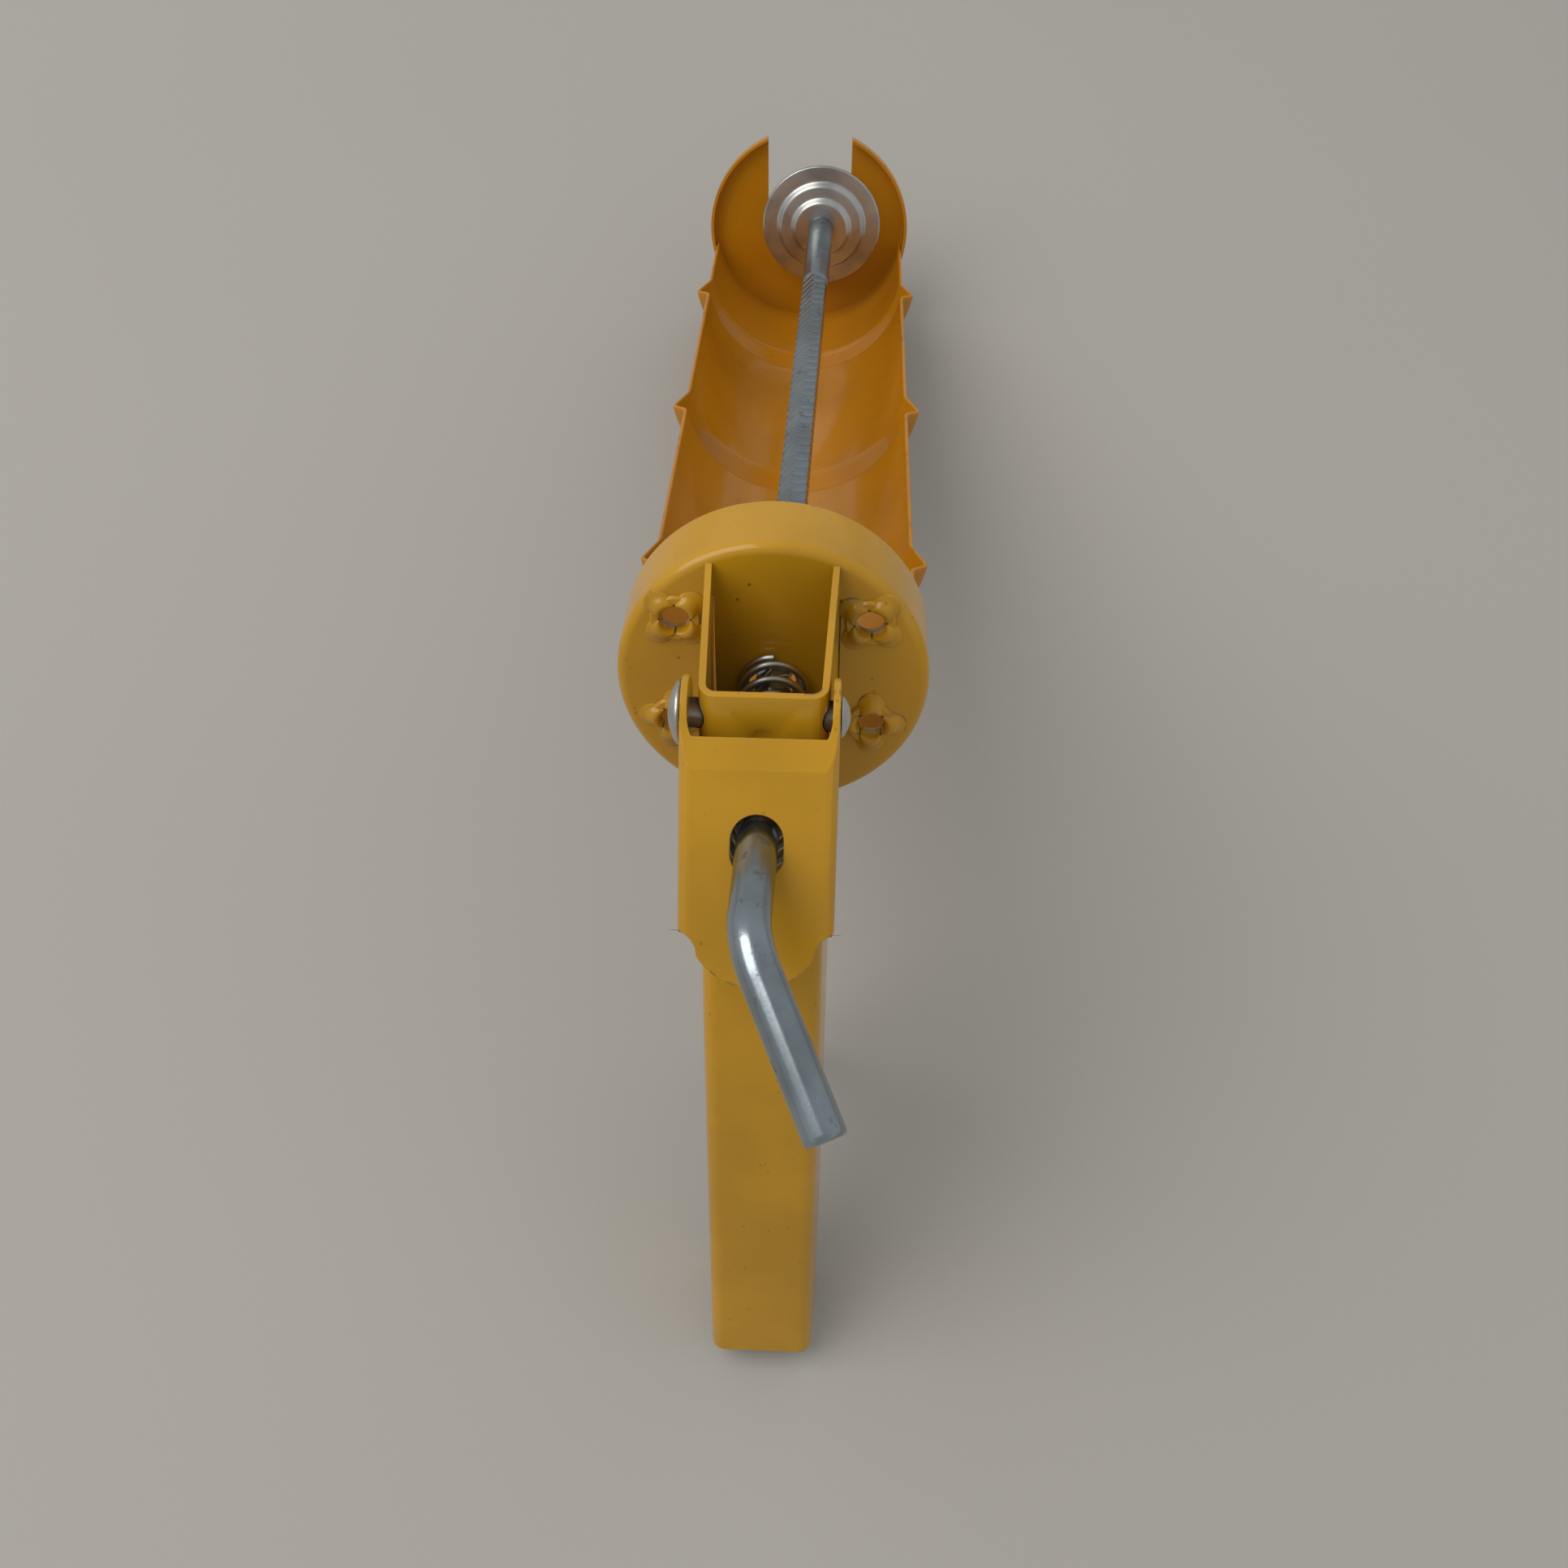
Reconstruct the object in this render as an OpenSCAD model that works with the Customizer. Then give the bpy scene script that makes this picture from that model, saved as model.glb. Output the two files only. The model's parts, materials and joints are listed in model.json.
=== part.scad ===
// Half-barrel caulking gun for 300 to 310 ml cartridges, all sizes in millimetres.
// Every piece is drawn in the gun's own frame: +X along the barrel to the nose, +Z up,
// the origin on the barrel's axis at the rear cap's back face. stand() then tips the gun
// nose down until the handle's end and the nose cap's edge both touch the ground at Z = 0.

/* [Barrel] */
// Outside diameter of both end caps
cap_d = 56.2; // [48:0.1:70]
// From the rear cap's back face to the nose cap's front face
barrel_l = 228.3; // [190:0.1:290]
// Sheet of the caps and the cradle
sheet_t = 0.9; // [0.7:0.1:1.4]
// Depth of the rear cap, outside
rear_depth = 15; // [10:0.5:20]
// Depth of the nose cap, outside
nose_depth = 4.2; // [3:0.1:8]
// Radius of the caps' drawn edges
cap_edge = 1.9; // [1.5:0.1:3]
// Width of the slot for the cartridge's nozzle
slot_w = 23.4; // [18:0.2:30]
// How far the cradle's long edges lie below the axis
edge_drop = 4.8; // [2:0.1:10]
// Height of the cradle's ribs
rib_h = 3.0; // [1.5:0.1:4]
// From the back face to the first rib
rib_first = 50; // [40:0.5:60]
// From rib to rib
rib_pitch = 70.6; // [55:0.1:75]

/* [Plunger] */
// Diameter of the rod
rod_d = 6.8; // [6:0.1:8]
// From the back face to the piston's rear face
piston_x = 217; // [160:0.5:218]
// Diameter of the piston disc
piston_d = 33; // [26:0.5:44]
// From the back face back to the start of the rod's bend
bend_x = 60; // [54:0.5:80]
// Inside the bend, to the rod's centre line
bend_r = 13; // [9:0.5:20]
// Angle of the bend
bend_angle = 45; // [30:1:60]
// Straight end of the rod behind the bend
tail_l = 26; // [15:0.5:40]
// Turn of the tail from straight down towards the right
tail_turn = 36; // [0:1:90]
// Flats of the rod: distance across, and where they start and end
flats_w = 5.9; // [5:0.1:6.5]
flats_from = -26; // [-28:1:20]
flats_to = 176; // [100:1:180]
// Play of the rod in its holes: lean to the right and upwards
rod_yaw = 0.9; // [0:0.1:1]
rod_rise = 1.0; // [0:0.1:1]

/* [Handle frame] */
// Sheet of the frame, trigger and lever
frame_t = 1.2; // [1:0.1:1.6]
// Outside width at the back web
frame_w = 20.5; // [18:0.1:24]
// Flare of each side wall
flare = 2.3; // [0:0.1:3]
// Outside bend radius of the channel
frame_r = 2.8; // [2:0.1:4]
// From the back face back to the web's top edge
web_x = 32.4; // [28:0.1:38]
// Height of the web's top edge
web_top = 19.8; // [16:0.1:22]
// Height of the walls at the rear cap
wall_top = 24.4; // [20:0.1:25]
// Lean of the web behind the barrel, and of the handle
lean_top = 9.5; // [6:0.1:12]
lean_low = 3.1; // [0:0.1:6]
// Radius of the bend between them
web_bend = 150; // [80:5:250]
// Straight length of the web above that bend
web_l = 58; // [50:0.5:70]
// From the axis down to the handle's end
handle_drop = 137; // [110:0.5:160]
// Depth of the handle's side walls
handle_depth = 20; // [16:0.5:26]

/* [Trigger] */
// Outside width
trigger_w = 17.4; // [15:0.1:18]
// Pivot: from the back face back, and below the axis
trigger_px = 25; // [22:0.5:27]
trigger_pz = 22; // [20:0.5:25]
// From the axis down to the trigger's end
trigger_drop = 104; // [90:1:110]
// Lean of the trigger above and below its bend, its lower end forward
trigger_lean_top = 6; // [0:1:10]
trigger_lean_low = 24; // [12:1:28]
// Diameter of both pivot rivets
rivet_d = 5; // [4:0.1:6]

/* [Lock lever] */
// Outside width
lever_w = 25.2; // [24.8:0.1:28]
// Sideways offset to the left
lever_side = 0.4; // [0:0.1:0.5]
// Pivot: from the back face back, and above the axis
lever_px = 29.9; // [27:0.1:32]
lever_pz = 14.7; // [13:0.1:16]
// Where the web's back surface meets the axis
lever_x = 45.4; // [44:0.1:50]
// Lean of the web
lever_lean = 25.4; // [20:0.1:30]
// Length of the web above and below the axis, and of the tongue
lever_up = 12.4; // [11:0.1:14]
lever_down = 14.5; // [12:0.1:18]
tongue_l = 9.2; // [6:0.1:12]
// Slot for the rod
lever_slot_w = 8.4; // [8:0.1:10]
lever_slot_l = 10.6; // [10:0.1:13]

/* [Drive] */
// Thickness of each of the two drive plates
plate_t = 2; // [1.5:0.1:3]
// Width of the drive plates, and how far they reach above and below the axis
plate_w = 17.2; // [16:0.1:17.6]
plate_up = 10; // [8:0.5:12]
plate_down = 12.5; // [10:0.5:13]
// From the back face back to the front plate's face
plate_x = 21.5; // [20:0.1:22]
// Return spring: outside diameter, wire and turns
spring_d = 12.6; // [11:0.1:13.6]
spring_wire = 1.4; // [1:0.1:1.6]
spring_turns = 5.5; // [4:0.5:6]
// Lock spring: outside diameter, wire and turns
lock_d = 11; // [10:0.1:12]
lock_wire = 1.1; // [0.8:0.1:1.3]
lock_turns = 3.5; // [2.5:0.5:4]

/* [Fits] */
// Gap between sheets that are pressed together
seat = 0.05; // [0.03:0.01:0.1]
// Running gap of the rivets and of the piston on its neck
running = 0.06; // [0.03:0.01:0.1]
// Radial gap of the rod in its holes, and in the drive plates
rod_play = 0.8; // [0.7:0.05:1]
plate_play = 0.35; // [0.3:0.05:0.5]
// Gap between moving pieces that touch in use
touch = 0.3; // [0.2:0.05:0.4]

/* [Hidden] */
$fn = 64;

cap_r = cap_d / 2;
cradle_r = cap_r - sheet_t - seat;
cradle_half = 90 - asin(edge_drop / cradle_r);
cradle_end = 0.7 * (cap_edge - sheet_t);
rib_near = 2.3;
rib_far = 7.2;
rib_tip_shift = sheet_t / 2;

// The web's path: straight, one bend, straight
web_p0 = [-web_x, web_top];
web_p1 = web_p0 - web_l * [sin(lean_top), cos(lean_top)];
web_c = web_p1 + web_bend * [cos(lean_top), -sin(lean_top)];
web_p2 = web_c + web_bend * [-cos(lean_low), sin(lean_low)];
low_l = (handle_drop + web_p2[1]) / cos(lean_low);
web_p3 = web_p2 - low_l * [sin(lean_low), cos(lean_low)];
foot_r = 4;
foot = [web_p3[0] + handle_depth - foot_r, -handle_drop + foot_r];
toe = [barrel_l - cap_edge, -(cap_r - cap_edge)];

// The gun stands on the handle's rounded corner and on the nose cap's edge
reach = toe - foot;
tilt = atan2(reach[1], reach[0]) + asin((foot_r - cap_edge) / norm(reach));
lift = cap_edge + toe[0] * sin(tilt) - toe[1] * cos(tilt);
horn_z = sqrt(pow(cap_r - cap_edge, 2) - pow(slot_w / 2, 2));
horn_lean = horn_z / (cap_r - cap_edge);
front_x = toe[0] * cos(tilt) + horn_z * sin(tilt)
    + cap_edge * sqrt(pow(cos(tilt), 2) + pow(horn_lean * sin(tilt), 2));
back_x = web_p3[0] * cos(tilt) - handle_drop * sin(tilt);
mid_x = (front_x + back_x) / 2;

// The rod leans about a point midway between its two holes
rod_pivot_x = -web_x / 2;
rod_r = rod_d / 2;
neck_r = 2.5;
disc_t = 1.2;
disc_rise = 3;
washer_t = 1;

// Frame walls where they meet the rear cap, with tabs through its slits
wall_y = frame_w / 2 + (web_x + 2) * tan(flare);
flange_z = 17.5;
flange_r = cradle_r - sheet_t - 0.4;
flange_x = sheet_t + seat;

// Clinches that join the frame's flanges to the rear cap: [y, z, turn of the petals]
clinch_r = 2.7;
clinch_t = 0.45;
petal_t = 0.7;
petal_r = 4.6;
petal_gap = 0.5;
clinches = [[17.05, 13.1, 45], [-17.05, 13.1, 38], [17.9, -8.6, 8], [-17.9, -8.6, 0]];

// Bead in the web: its radius, how deep it is pressed, and where it starts and how far it runs
bead_r = 4.5;
bead_depth = 0.6;
bead_z = 7.6;
bead_l = 7;

// Rivets: half the frame's width at each pivot, and the heads
rivet_r = rivet_d / 2;
function web_at(z) = -web_x - (web_top - z) * tan(lean_top);
function wall_at(x, z) = frame_w / 2 + (x - web_at(z)) * cos(lean_top) * tan(flare);
trigger_wall = wall_at(-trigger_px, -trigger_pz);
head_h = 1.3;

// Trigger: its front web's path and the horns that push the drive plates
horn_r = 2.5;
horn_x = -plate_x - 2 * plate_t - seat - touch - horn_r;
boss_r = 6.5;
tp0 = [-9.5, -26];
tp_l = 22;
tp_r = 70;
tp1 = tp0 + tp_l * [sin(trigger_lean_top), -cos(trigger_lean_top)];
tpc = tp1 + tp_r * [cos(trigger_lean_top), sin(trigger_lean_top)];
tp2 = tpc - tp_r * [cos(trigger_lean_low), sin(trigger_lean_low)];
tp_low = (trigger_drop + tp2[1]) / cos(trigger_lean_low);
tp3 = tp2 + tp_low * [sin(trigger_lean_low), -cos(trigger_lean_low)];

// Lever: its pivot seen from where the web crosses the axis, along and across the web
ear_r = 6.1;
lever_r = 2.2;
lever_dx = lever_x - lever_px;
pivot_d = lever_dx * cos(lever_lean) - lever_pz * sin(lever_lean);
pivot_t = lever_dx * sin(lever_lean) + lever_pz * cos(lever_lean);
lever_in = -lever_x + frame_t / cos(lever_lean);

// Tips the gun onto the ground, with the origin in the middle below it
module stand() translate([-mid_x, 0, lift]) rotate([0, tilt, 0]) children();

// Turns a shape drawn along Z so that it runs along the barrel; its X then points down
module along(x = 0) translate([x, 0, 0]) rotate([0, 90, 0]) children();

// Turns a shape drawn along Z so that it runs from side to side
module across() rotate([90, 0, 0]) children();

// Moves what sits on the rod to the rod's own lean
module on_rod() translate([rod_pivot_x, 0, 0]) rotate([0, -rod_rise, -rod_yaw])
    translate([-rod_pivot_x, 0, 0]) children();

// Half section of a disc with a rounded upper edge
module puck_half(r, h, e) {
    square([r - e, h]);
    square([r, h - e]);
    translate([r - e, h - e]) circle(e);
}

// Drawn sheet cup, closed at the top
module cup(r, h, t, e) rotate_extrude($fn = 128) intersection() {
    difference() {
        puck_half(r, h, e);
        translate([0, -t]) puck_half(r - t, h, max(e - t, 0.3));
    }
    square([r + 1, h + 1]);
}

// Rod hole, along the barrel
module rod_hole(x, l) along(x) cylinder(r = rod_r + rod_play, h = l, center = true);

// One side of a rib in the cradle's sheet: [distance along the barrel, gain in radius]
function rib_line(x, shift) = [[x - rib_near - 0.6 + shift, 0], [x - rib_near + shift, 0.3],
    [x - 0.4 + shift, rib_h - 0.4], [x + shift / 2, rib_h], [x + 0.7, rib_h - 0.15],
    [x + rib_far - 1.2, 0.3], [x + rib_far, 0]];
function cradle_line(r, shift) = [for (k = [0:2])
    for (p = rib_line(rib_first + k * rib_pitch, shift)) [r + p[1], p[0]]];

module cradle() color("orange") stand() {
    front = barrel_l - sheet_t - seat;
    rear = flange_x + frame_t + 0.3;
    inner_r = cradle_r - sheet_t;
    outer = concat([[cradle_r, rear]], cradle_line(cradle_r, 0),
        [[cradle_r, front - cradle_end], [cradle_r - cradle_end, front]]);
    inner = concat([[inner_r, rear]], cradle_line(inner_r, rib_tip_shift), [[inner_r, front]]);
    along() rotate([0, 0, -cradle_half]) rotate_extrude(angle = 2 * cradle_half, $fn = 128)
        polygon(concat(outer, [for (i = [len(inner) - 1:-1:0]) inner[i]]));
}

module nose_cap() color("orange") stand() difference() {
    along(barrel_l - nose_depth) cup(cap_r, nose_depth, sheet_t, cap_edge);
    along(barrel_l) cylinder(d = slot_w, h = 4 * nose_depth, center = true);
    translate([barrel_l - 2 * nose_depth, -slot_w / 2, 0]) cube([3 * nose_depth, slot_w, cap_d]);
}

module rear_cap() color("gold") stand() difference() {
    mirror([1, 0, 0]) along(-rear_depth) cup(cap_r, rear_depth, sheet_t, cap_edge);
    rod_hole(0, 4 * sheet_t);
    for (c = clinches) translate([0, c[0], c[1]])
        along() cylinder(r = clinch_r + clinch_t + seat, h = 4 * sheet_t, center = true);
    for (s = [0, 1]) mirror([0, s, 0]) translate([-1, wall_y - frame_t - 0.25, -flange_z - seat])
        cube([2 + sheet_t, frame_t + 0.5, 2 * (flange_z + seat)]);
}

// Points of an arc about c in n steps
function arc(c, r, a0, a1, n = 6) = [for (i = [0:n]) c + r * [cos(a0 + (a1 - a0) * i / n), sin(a0 + (a1 - a0) * i / n)]];

// Folded sheet, web at the back and walls forward to a depth d, flared by fl: its outer line
function channel_line(w, r, d, fl) = let (y_c = w / 2 + r * tan(fl) - r / cos(fl), y_d = w / 2 + d * tan(fl))
    concat([[d, y_d]], arc([r, y_c], r, 90 + fl, 180), arc([r, -y_c], r, 180, 270 - fl), [[d, -y_d]]);
function reversed(v) = [for (i = [len(v) - 1:-1:0]) v[i]];
function channel_points(w, r, d, fl = 0) = let (w_in = w - 2 * frame_t / cos(fl) + 2 * frame_t * tan(fl),
    inner = [for (p = channel_line(w_in, r - frame_t, d - frame_t, fl)) p + [frame_t, 0]])
    concat(channel_line(w, r, d, fl), reversed(inner));

// Sweeps a section down a path of two straights and a bend about a centre ahead of it.
// a0 and a1 are the leans of the straights; side is -1 where the walls point back
module swept(p0, a0, l0, r, a1, l1, above, section, side = 1) {
    p1 = p0 - l0 * [sin(a0), cos(a0)];
    c = p1 + r * [cos(a0), -sin(a0)];
    turns = [for (i = [0:8]) a0 + (a1 - a0) * i / 8];
    p2 = c - r * [cos(a1), -sin(a1)];
    rings = concat([[p0 + above * [sin(a0), cos(a0)], a0]], [for (t = turns) [c - r * [cos(t), -sin(t)], t]],
        [[p2 - (l1 + 6) * [sin(a1), cos(a1)], a1]]);
    n = len(section);
    m = len(rings);
    points = [for (g = rings) for (p = section)
        [g[0][0] + side * p[0] * cos(g[1]), side * p[1], g[0][1] - side * p[0] * sin(g[1])]];
    ends = [for (k = [0:n / 2 - 2]) [k, k + 1, n - 2 - k, n - 1 - k]];
    polyhedron(points, concat([for (q = ends) reversed(q)], [for (q = ends) q + (m - 1) * n * [1, 1, 1, 1]],
        [for (i = [0:m - 2]) for (k = [0:n - 1]) let (j = (k + 1) % n)
            [i * n + k, i * n + j, (i + 1) * n + j, (i + 1) * n + k]]));
}

// Gives a side view its width
module plate(w) rotate([90, 0, 0]) linear_extrude(w, center = true) children();

// Side view of the frame: what is left of the folded channel
module frame_side() {
    slope = (wall_top - web_top) / web_x;
    knee_x = web_p1[0] + handle_depth + 2;
    knee = [for (u = [0:0.1:1]) [knee_x * sin(90 * u), -23 - 46 * (1 - cos(90 * u))]];
    polygon(concat([[-web_x - 30, web_top - 30 * slope], [0, wall_top]], knee,
        arc(foot, foot_r, 0, -90, 8), [[-90, -handle_drop]]));
}

// Wall tab through the rear cap and the flange behind it, on the left
module flange() {
    translate([-1.5, wall_y - frame_t, -flange_z]) cube([1.5 + flange_x + frame_t, frame_t, 2 * flange_z]);
    intersection() {
        along(flange_x) cylinder(r = flange_r, h = frame_t, $fn = 128);
        translate([0, wall_y - frame_t, -flange_z]) cube([10, cap_r, 2 * flange_z]);
    }
}

// Pierced joint: a collar from the flange through the cap, folded over in four petals
module clinch(turn) {
    rotate([turn, 0, 0]) difference() {
        along(-seat - petal_t) rotate_extrude() polygon([[clinch_r + 0.3, 0], [petal_r - 0.4, 0],
            [petal_r, petal_t], [clinch_r + clinch_t, petal_t], [clinch_r + clinch_t, petal_t + 2 * seat + flange_x],
            [clinch_r, petal_t + 2 * seat + flange_x], [clinch_r, 0.3]]);
        for (a = [0, 90]) rotate([a, 0, 0]) translate([-2 - seat, -petal_r - 1, -petal_gap / 2])
            cube([2, 2 * petal_r + 2, petal_gap]);
    }
}

// Shallow bead pressed into the web above the rod's hole
module bead() translate([web_p0[0], 0, web_p0[1]]) rotate([0, lean_top, 0])
    translate([bead_depth - bead_r, 0, -bead_z]) {
        sphere(bead_r);
        mirror([0, 0, 1]) cylinder(r = bead_r, h = bead_l);
    }

module handle_frame() color("gold") stand() difference() {
    union() {
        intersection() {
            swept(web_p0, lean_top, web_l, web_bend, lean_low, low_l, 20,
                channel_points(frame_w, frame_r, 52, flare));
            plate(100) frame_side();
            translate([-100 - seat, -50, -200]) cube([100, 100, 300]);
        }
        for (s = [0, 1]) mirror([0, s, 0]) flange();
        for (c = clinches) translate([0, c[0], c[1]]) clinch(c[2]);
    }
    bead();
    rod_hole(-web_x - 3, 12);
    for (c = clinches) translate([0, c[0], c[1]]) along() cylinder(r = clinch_r - seat, h = 20, center = true);
    translate([-lever_px, 0, lever_pz]) across() cylinder(r = rivet_r + seat, h = 60, center = true);
    translate([-trigger_px, 0, -trigger_pz]) across() cylinder(r = rivet_r + seat, h = 60, center = true);
}

// Point at t on the cubic curve through four control points
function curve(p, t) = pow(1 - t, 3) * p[0] + 3 * t * pow(1 - t, 2) * p[1]
    + 3 * t * t * (1 - t) * p[2] + t * t * t * p[3];

// Side view of the trigger: horn, boss and finger lever, its back edge one curve
module trigger_side() {
    boss = [-trigger_px, -trigger_pz];
    horn = [horn_x, 0];
    back = [boss + [-boss_r, -1], boss + [-boss_r - 1, -26], tp2 + [-14, 6], tp3 + [-8, 1]];
    polygon(concat(arc(horn, horn_r, 180, 0, 8), [horn + [horn_r, boss[1] + 5]], arc(boss, boss_r, 72, 20, 4),
        [[tp0[0] - 4, tp0[1] + 3], [tp0[0] + 8, tp0[1] + 2], tp3 + [12, 0], tp3 + [-5, -2]],
        [for (t = [1:-0.1:0]) curve(back, t)]));
}

module trigger() color("gold") stand() difference() {
    intersection() {
        swept(tp0, -trigger_lean_top, tp_l, tp_r, -trigger_lean_low, tp_low, 34,
            channel_points(trigger_w, frame_r, 30), -1);
        plate(60) trigger_side();
    }
    translate([-trigger_px, 0, -trigger_pz]) across() cylinder(r = rivet_r + running, h = 60, center = true);
}

// Rivet across the gun: shank between two heads, y0 to y1
module rivet(y0, y1) translate([0, y0, 0]) rotate([-90, 0, 0]) cylinder(r = rivet_r, h = y1 - y0);

// Round head with a domed top, drawn upwards
module head(r, h) rotate_extrude() intersection() {
    translate([0, h - (r * r + h * h) / (2 * h)]) circle((r * r + h * h) / (2 * h), $fn = 128);
    square([r, h]);
}

module trigger_rivet() color("silver") stand() translate([-trigger_px, 0, -trigger_pz]) {
    side = trigger_wall + 0.25;
    rivet(-side - 0.1, side + 0.1);
    for (s = [0, 1]) mirror([0, s, 0]) translate([0, side, 0]) rotate([-90, 0, 0]) head(4.2, head_h);
}

module lever_rivet() color("silver") stand() translate([-lever_px, 0, lever_pz]) {
    left = lever_side + lever_w / 2 + touch / 2;
    right = lever_side - lever_w / 2 - touch / 2;
    rivet(right - 0.1, left + 0.1);
    translate([0, left, 0]) rotate([-90, 0, 0]) {
        cylinder(r = 5.2, h = 0.6);
        translate([0, 0, 0.6]) head(5.2, 1.6);
    }
    translate([0, right, 0]) rotate([90, 0, 0]) head(3.6, 1.5);
}

// The rod with its tail bent towards -Z, before it is turned about its own axis
module rod_body() {
    shoulder = piston_x - disc_rise - running;
    neck_end = shoulder + disc_t + washer_t + 3 * running;
    difference() {
        along(-bend_x) rotate_extrude() polygon([[0, 0], [rod_r, 0], [rod_r, bend_x + shoulder],
            [neck_r, bend_x + shoulder], [neck_r, bend_x + neck_end], [3.8, bend_x + neck_end],
            [3.6, bend_x + neck_end + 0.6], [2.6, bend_x + neck_end + 1.2], [0, bend_x + neck_end + 1.4]]);
        for (a = [0:60:300]) rotate([a, 0, 0])
            translate([flats_from, -rod_r, flats_w / 2]) cube([flats_to - flats_from, rod_d, rod_r]);
    }
    translate([-bend_x, 0, -bend_r]) rotate([90, 0, 0]) rotate([0, 0, 90])
        rotate_extrude(angle = bend_angle) translate([bend_r, 0]) circle(rod_r);
    translate([-bend_x, 0, -bend_r]) rotate([0, -bend_angle, 0]) translate([0, 0, bend_r])
        rotate([0, -90, 0]) rotate_extrude()
            polygon([[0, 0], [rod_r, 0], [rod_r, tail_l - 0.8], [rod_r - 0.25, tail_l - 0.25],
                [rod_r - 0.8, tail_l], [0, tail_l]]);
}

module plunger_rod() color("lightsteelblue") stand() on_rod() rotate([-tail_turn, 0, 0]) rod_body();

// Pressed disc, stepped back towards the rod in two rings
module piston_disc() color("silver") stand() on_rod() along(piston_x - disc_rise) rotate_extrude($fn = 96) {
    r = piston_d / 2;
    step1 = [r - 4.2, r - 5.2];
    step2 = [r - 8.2, r - 9.2];
    polygon([[neck_r + running, 0], [step2[1], 0], [step2[0], disc_rise / 2 - 0.1],
        [step1[1], disc_rise / 2 + 0.1], [step1[0], disc_rise], [r, disc_rise],
        [r, disc_rise + disc_t], [step1[0] - 0.4, disc_rise + disc_t],
        [step1[1] - 0.4, disc_rise / 2 + 0.1 + disc_t], [step2[0] - 0.4, disc_rise / 2 - 0.1 + disc_t],
        [step2[1] - 0.4, disc_t], [neck_r + running, disc_t]]);
}

module piston_washer() color("silver") stand() on_rod()
    along(piston_x - disc_rise + disc_t + running) difference() {
        cylinder(r = 6, h = washer_t);
        cylinder(r = neck_r + running, h = 10, center = true);
    }

// One of the two plates that grip the rod when the trigger pushes them
module drive_plate(n) color("slategray") stand() on_rod()
    translate([-plate_x - plate_t - n * (plate_t + seat), 0, 0]) difference() {
        r = 2;
        union() {
            translate([0, -plate_w / 2 + r, -plate_down]) cube([plate_t, plate_w - 2 * r, plate_up + plate_down]);
            translate([0, -plate_w / 2, -plate_down + r]) cube([plate_t, plate_w, plate_up + plate_down - 2 * r]);
            for (y = [-1, 1]) for (z = [-plate_down + r, plate_up - r])
                translate([0, y * (plate_w / 2 - r), z]) along() cylinder(r = r, h = plate_t);
        }
        along() cylinder(r = rod_r + plate_play, h = 20, center = true);
    }

module drive_plate_front() drive_plate(0);
module drive_plate_rear() drive_plate(1);

// Coil spring as a tube swept along a helix about X, with its end turns closed. It fills the
// space between two planes that lean by a0 and a1 and cross the axis at x0 and x1.
function pitch_share(u, turns) = let (c = 0.75 / turns)
    u < c ? 0.35 * u : u > 1 - c ? 1 - 0.35 * (1 - u) : 0.35 * c + (u - c) * (1 - 0.7 * c) / (1 - 2 * c);
module coil(x0, a0, x1, a1, od, wire, turns) {
    sides = 8;
    rings = round(turns * 16);
    rm = (od - wire) / 2;
    points = [for (i = [0:rings]) for (k = [0:sides - 1])
        let (f = 360 * turns * i / rings, g = 360 * k / sides, r = rm + wire / 2 * cos(g), z = r * cos(f),
            s = pitch_share(i / rings, turns), e0 = x0 + z * tan(a0) - wire / 2, e1 = x1 + z * tan(a1) + wire / 2)
        [e0 + s * (e1 - e0) + wire / 2 * sin(g), r * sin(f), z]];
    faces = [for (i = [0:rings - 1]) for (k = [0:sides - 1]) let (n = (k + 1) % sides)
        [i * sides + k, i * sides + n, (i + 1) * sides + n, (i + 1) * sides + k]];
    polyhedron(concat(points), concat(faces, [[for (k = [sides - 1:-1:0]) k]],
        [[for (k = [0:sides - 1]) rings * sides + k]]));
}

module return_spring() color("silver") stand() on_rod()
    coil(-touch, 0, -plate_x + touch, 0, spring_d, spring_wire, spring_turns);

module lock_spring() color("silver") stand() translate([0, 0.3, 0])
    coil(web_at(0) - touch, lean_top, lever_in + touch, lever_lean, lock_d, lock_wire, lock_turns);

// What is cut away beside the lever's round tongue, seen from behind, on the left
module beside_tongue() {
    w = lever_w / 2;
    neck = 9.4;
    drop = 4;
    r = (neck * neck + pow(tongue_l - drop, 2)) / (2 * (tongue_l - drop));
    half = asin(neck / r);
    tip = -lever_down - tongue_l;
    polygon(concat([[w + 1, -lever_down], [w, -lever_down]],
        [for (u = [0.25:0.25:1]) [w - (w - neck) * sin(90 * u), -lever_down - drop * (1 - cos(90 * u))]],
        arc([0, tip + r], r, -90 + half, -90, 10), [[0, tip - 2], [w + 1, tip - 2]]));
}

// The lever seen from the side: the web with an ear at its top
module lever_side_view() polygon(concat([[-1, lever_up], [0, lever_up]],
    arc([pivot_d, pivot_t], ear_r, 185, -5, 14),
    [[5, -lever_down + 6], [4, -lever_down + 1], [3, -lever_down], [frame_t, -lever_down],
        [frame_t, -lever_down - tongue_l - 1], [-1, -lever_down - tongue_l - 1]]));

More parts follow.
